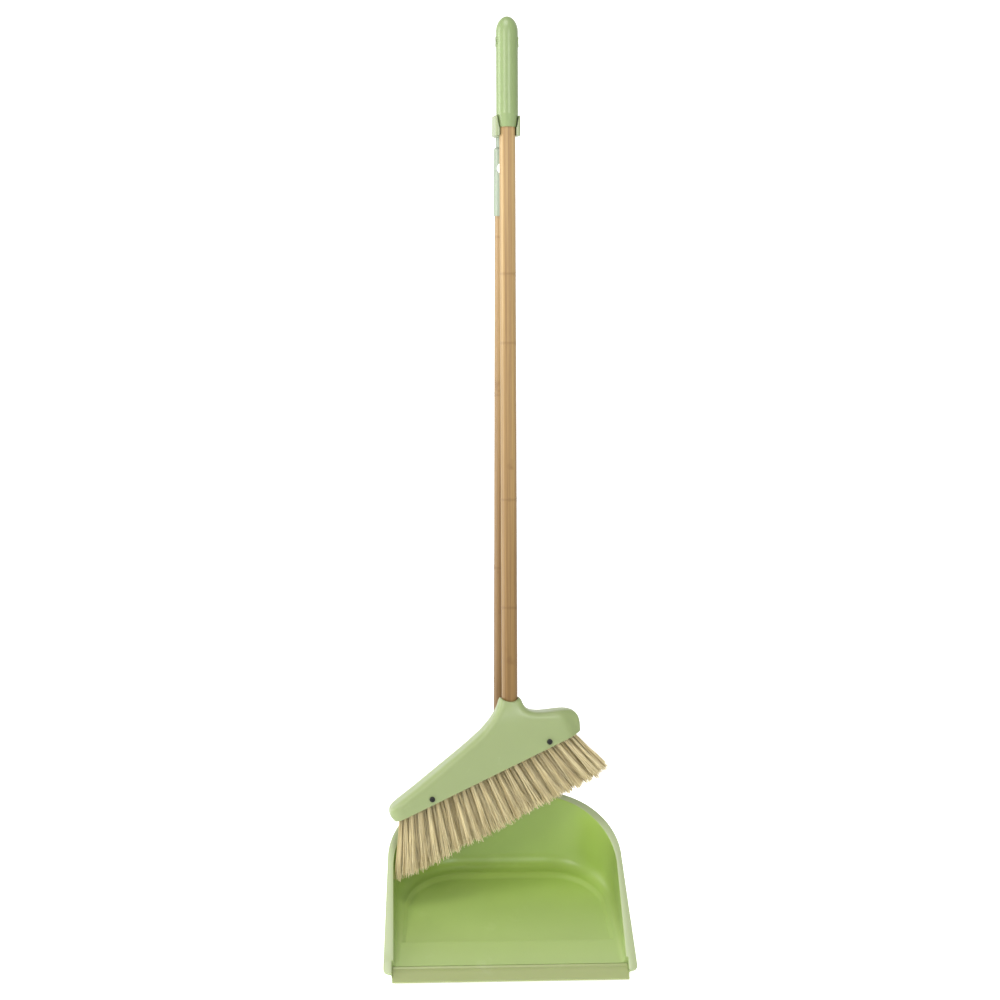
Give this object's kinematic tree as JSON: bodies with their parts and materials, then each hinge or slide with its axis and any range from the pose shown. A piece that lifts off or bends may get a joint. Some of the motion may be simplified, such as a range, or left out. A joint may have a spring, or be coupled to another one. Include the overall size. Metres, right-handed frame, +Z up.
{
  "type": "dust pan and brush set",
  "caption": "Long-handled hooded dust pan with a soft lip, and a matching angled broom with bamboo pole that clips in front of it and pulls forward to lift off.",
  "frame": {"origin": "centre of the hang hole in the pan's grip, on the axis of the pan's pole", "axes": "+Z up along the pan's pole, -Y out of the pan's mouth, +X to the right seen from the front"},
  "size_m": [0.252, 0.2015, 0.9498],
  "materials": {
    "pan_plastic": "moulded, satin gloss",
    "head_plastic": "moulded, satin gloss",
    "grip_plastic": "moulded, satin",
    "clip_plastic": "moulded, satin",
    "block_plastic": "moulded, matt",
    "thread_plastic": "moulded, matt",
    "lip_rubber": "soft, satin",
    "bamboo": "clear lacquer",
    "bristle_fibre": "natural fibre",
    "screw_steel": "zinc plated",
    "staple_wire": "drawn wire",
    "dark_screw": "blackened"
  },
  "bodies": {
    "dustpan": {"pan_shell": "pan_plastic", "pan_lip": "lip_rubber", "pan_pole": "bamboo", "pan_socket_screw": "screw_steel", "pan_grip": "grip_plastic", "broom_clip": "clip_plastic", "clip_screw": "screw_steel"},
    "broom": {"broom_pole": "bamboo", "broom_grip": "head_plastic", "pole_thread": "thread_plastic", "head_cover": "head_plastic", "tuft_block": "block_plastic", "tuft_staples": "staple_wire", "block_screws": "dark_screw", "bristle_row_1": "bristle_fibre", "bristle_row_2": "bristle_fibre", "bristle_row_3": "bristle_fibre", "bristle_row_4": "bristle_fibre", "bristle_row_5": "bristle_fibre"}
  },
  "joints": [
    {"name": "broom_pull", "type": "slide", "parent": "dustpan", "child": "broom", "axis": [0.087, -0.9949, 0.051], "range_m": [0, 0.25]}
  ]
}
